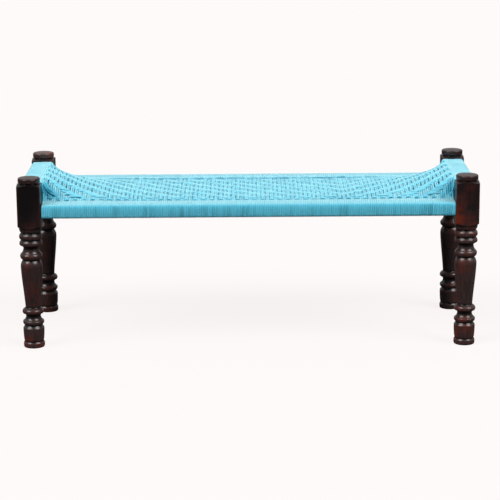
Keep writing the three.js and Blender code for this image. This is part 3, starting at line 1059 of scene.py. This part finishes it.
def cotton_cord(colours):
    """Dyed cotton cord: matt fibres in three strands twisted together, painted paler where they face up, as
    painted light from above.

    The strands turn once in 14 mm of cord, and their grooves are painted darker, as painted shade. The dye
    varies in patches about 40 mm wide. A point's values: tint for how pale its dye is, and painted_shade
    where it lies under other cords or in shade, where it is painted in the deep colour.
    """
    name = "dyed cotton cord"
    if name in bpy.data.materials:
        return bpy.data.materials[name]
    material, tree = new_material(name)
    place = add_node(tree, "ShaderNodeTexCoord").outputs["Object"]
    on_cord = add_node(tree, "ShaderNodeUVMap", uv_map="cord")
    parts = add_node(tree, "ShaderNodeSeparateXYZ", {0: on_cord}).outputs
    # The angle of the three strands: once round the cord's section, and on along its length
    turns = add_node(tree, "ShaderNodeMath", {0: parts[0], 1: 1 / (14 * MM)}, operation="MULTIPLY")
    phase = add_node(tree, "ShaderNodeMath", {0: turns, 1: parts[1]}, operation="ADD")
    phase = add_node(tree, "ShaderNodeMath", {0: phase, 1: 3 * math.tau}, operation="MULTIPLY")
    strand = add_node(tree, "ShaderNodeMath", {0: phase}, operation="SINE")
    strand = add_node(tree, "ShaderNodeMapRange", {"Value": strand, "From Min": -1, "From Max": 0})
    # Fibres of 0.9 mm are drawn coarser than real ones so that they show
    fibre = add_node(tree, "ShaderNodeTexNoise", {"Vector": place, "Scale": 1 / (0.9 * MM), "Detail": 2})
    patch = add_node(tree, "ShaderNodeTexNoise", {"Vector": place, "Scale": 1 / (40 * MM), "Detail": 2})
    tint, painted_shade = (
        add_node(tree, "ShaderNodeAttribute", attribute_name=name).outputs["Fac"]
        for name in ("tint", "painted_shade")
    )
    shade = add_node(tree, "ShaderNodeMath", {0: patch, 1: tint}, operation="ADD")
    shade = add_node(
        tree, "ShaderNodeMapRange", {"Value": shade, "From Min": 0.0, "From Max": 1.05, "To Min": 0.4}
    )
    # Painted light: faces that point up are painted paler, for the light from above
    facing = add_node(tree, "ShaderNodeNewGeometry").outputs["Normal"]
    upward = add_node(tree, "ShaderNodeSeparateXYZ", {0: facing}).outputs[2]
    lightened = add_node(
        tree,
        "ShaderNodeMapRange",
        {"Value": upward, "From Min": 0.4, "From Max": 0.98},
        interpolation_type="SMOOTHSTEP",
    )
    # Where painted_shade lies, the painted top light and the dye's own paleness give way to the deep colour
    in_light = add_node(
        tree, "ShaderNodeMapRange", {"Value": painted_shade, "From Max": 0.8, "To Min": 1, "To Max": 0}
    )
    lightened = add_node(tree, "ShaderNodeMath", {0: lightened, 1: in_light}, operation="MULTIPLY")
    shade = add_node(tree, "ShaderNodeMath", {0: shade, 1: in_light}, operation="MULTIPLY")
    # The deep colour takes the strands' grooves, as painted shade, and the places where the dye took more
    # strongly
    dyed_share = add_node(tree, "ShaderNodeMath", {0: strand, 1: shade}, operation="MULTIPLY")
    side, pale, deep = (rgba(colour) for colour in (colours.cord, colours.cord_painted_top_light, colours.cord_deep_dye_and_shade))
    dyed = add_node(tree, "ShaderNodeMix", {0: lightened, FIRST: side, SECOND: pale}, data_type="RGBA")
    colour = add_node(
        tree, "ShaderNodeMix", {0: dyed_share, FIRST: deep, SECOND: dyed.outputs[MIXED]}, data_type="RGBA"
    )
    fluff = add_node(tree, "ShaderNodeMath", {0: fibre, 1: 0.35}, operation="MULTIPLY")
    relief = add_node(tree, "ShaderNodeMath", {0: strand, 1: fluff}, operation="ADD")
    inputs = {
        "Base Color": colour.outputs[MIXED],
        "Roughness": 0.85,
        "IOR": 1.45,
        "Specular IOR Level": 0.3,
        "Sheen Weight": 0.25,
        "Sheen Roughness": 0.5,
        "Normal": add_node(
            tree, "ShaderNodeBump", {"Height": relief, "Strength": 0.6, "Distance": 0.5 * MM}
        ),
    }
    shader = add_node(tree, "ShaderNodeBsdfPrincipled", inputs)
    add_node(tree, "ShaderNodeOutputMaterial", {"Surface": shader})
    return material


# Studio


def pale_floor(studio):
    """A seamless pale floor: a matt layer that takes the bench's shadow, and a glow for the camera alone.

    The two add up to the backdrop's colour where all the light falls, which is the all-round light plus
    both lamps' strength times the sine of their height over pi.
    """
    material, tree = new_material("seamless pale floor")
    seen = add_node(tree, "ShaderNodeLightPath").outputs["Is Camera Ray"]
    share = studio.floor_shadow
    all_round = (studio.room_light + studio.backdrop_light) / 2
    lit = all_round + 2 * studio.main_light * math.sin(LIGHT_HEIGHT) / math.pi
    matt = add_node(tree, "ShaderNodeBsdfDiffuse", {"Color": rgba((share, share, share))})
    level = rgba(part - share * lit for part in studio.backdrop)
    glow = add_node(tree, "ShaderNodeEmission", {"Color": level, "Strength": seen})
    surface = add_node(tree, "ShaderNodeAddShader", {0: matt, 1: glow})
    add_node(tree, "ShaderNodeOutputMaterial", {"Surface": surface})
    return material


class BENCH_OT_studio(bpy.types.Operator):
    """Sets up the floor, the light and the camera"""

    bl_idname = "bench.studio"
    bl_label = "Studio"

    def execute(self, context):
        scene = context.scene
        studio = scene.bench_studio
        mesh = bpy.data.meshes.new("floor")
        corners = [(x * FLOOR_REACH, y * FLOOR_REACH, 0) for x, y in ((-1, -1), (1, -1), (1, 1), (-1, 1))]
        mesh.from_pydata(corners, [], [(0, 1, 2, 3)])
        mesh.materials.append(pale_floor(studio))
        floor = bpy.data.objects.new("floor", mesh)
        scene.collection.objects.link(floor)

        world = bpy.data.worlds.new("white room")
        world.use_nodes = True
        tree = world.node_tree
        tree.nodes.clear()
        rays = add_node(tree, "ShaderNodeLightPath").outputs
        rays = {0: rays["Is Camera Ray"], 1: rays["Is Transmission Ray"]}
        seen = add_node(tree, "ShaderNodeMath", rays, operation="MAXIMUM")
        shown = add_node(tree, "ShaderNodeBackground", {"Color": rgba(studio.backdrop), "Strength": 1})
        # The light grows from the room's strength, straight behind the camera, to the backdrop's ahead of it
        direction = add_node(tree, "ShaderNodeTexCoord").outputs["Generated"]
        ahead = add_node(tree, "ShaderNodeSeparateXYZ", {0: direction}).outputs[1]
        strengths = {"To Min": studio.room_light, "To Max": studio.backdrop_light}
        strength = add_node(tree, "ShaderNodeMapRange", {"Value": ahead, "From Min": -1, **strengths})
        lit = add_node(tree, "ShaderNodeBackground", {"Color": (1, 1, 1, 1), "Strength": strength})
        surface = add_node(tree, "ShaderNodeMixShader", {0: seen, 1: lit, 2: shown})
        add_node(tree, "ShaderNodeOutputWorld", {"Surface": surface})
        scene.world = world

        for side, name in ((-1, "left light"), (1, "right light")):
            wide = bpy.data.lights.new(name, "SUN")
            wide.energy = studio.main_light
            wide.angle = LIGHT_SPREAD
            lamp = bpy.data.objects.new(name, wide)
            scene.collection.objects.link(lamp)
            lamp.rotation_euler = (math.pi / 2 - LIGHT_HEIGHT, 0, side * LIGHT_TURN)

        turn, tilt, roll = studio.camera_turn
        aimed = Matrix.Rotation(-turn, 4, "Z") @ Matrix.Rotation(math.pi / 2 - tilt, 4, "X")
        view = bpy.data.cameras.new("camera")
        view.lens = studio.lens
        view.sensor_width = SENSOR_WIDTH
        view.clip_end = VIEW_REACH
        camera = bpy.data.objects.new("camera", view)
        scene.collection.objects.link(camera)
        placed = Matrix.Translation(studio.camera_place)
        camera.matrix_world = placed @ aimed @ Matrix.Rotation(roll, 4, "Z")
        scene.camera = camera
        scene.view_settings.view_transform = "Standard"
        return {"FINISHED"}


class BENCH_PT_pieces(bpy.types.Panel):
    """Lists the bench's pieces"""

    bl_idname = "BENCH_PT_pieces"
    bl_label = "Charpai bench"
    bl_space_type = "VIEW_3D"
    bl_region_type = "UI"
    bl_category = "Bench"

    def draw(self, context):
        layout = self.layout
        for group in (context.scene.bench_sizes, context.scene.bench_colours, context.scene.bench_studio):
            box = layout.box()
            for name in group.__annotations__:
                box.prop(group, name)
        for operator in OPERATORS:
            layout.operator(operator.bl_idname)


GROUPS = {"bench_sizes": BenchSizes, "bench_colours": BenchColours, "bench_studio": BenchStudio}
OPERATORS = (
    BENCH_OT_turned_legs,
    BENCH_OT_bare_rails,
    BENCH_OT_rail_wraps,
    BENCH_OT_crosswise_cords,
    BENCH_OT_lengthwise_cords,
    BENCH_OT_studio,
)


def register():
    """Registers the classes and gives the scene its property groups."""
    for made in (*GROUPS.values(), *OPERATORS, BENCH_PT_pieces):
        bpy.utils.register_class(made)
    for name, group in GROUPS.items():
        setattr(bpy.types.Scene, name, bpy.props.PointerProperty(type=group))


def unregister():
    """Takes back what register does."""
    for name in GROUPS:
        delattr(bpy.types.Scene, name)
    for made in (BENCH_PT_pieces, *reversed(OPERATORS), *reversed(GROUPS.values())):
        bpy.utils.unregister_class(made)


def main():
    """Makes every piece and the studio."""
    register()
    bpy.ops.bench.turned_legs()
    bpy.ops.bench.bare_rails()
    bpy.ops.bench.rail_wraps()
    bpy.ops.bench.crosswise_cords()
    bpy.ops.bench.lengthwise_cords()
    bpy.ops.bench.studio()


if __name__ == "__main__":
    main()
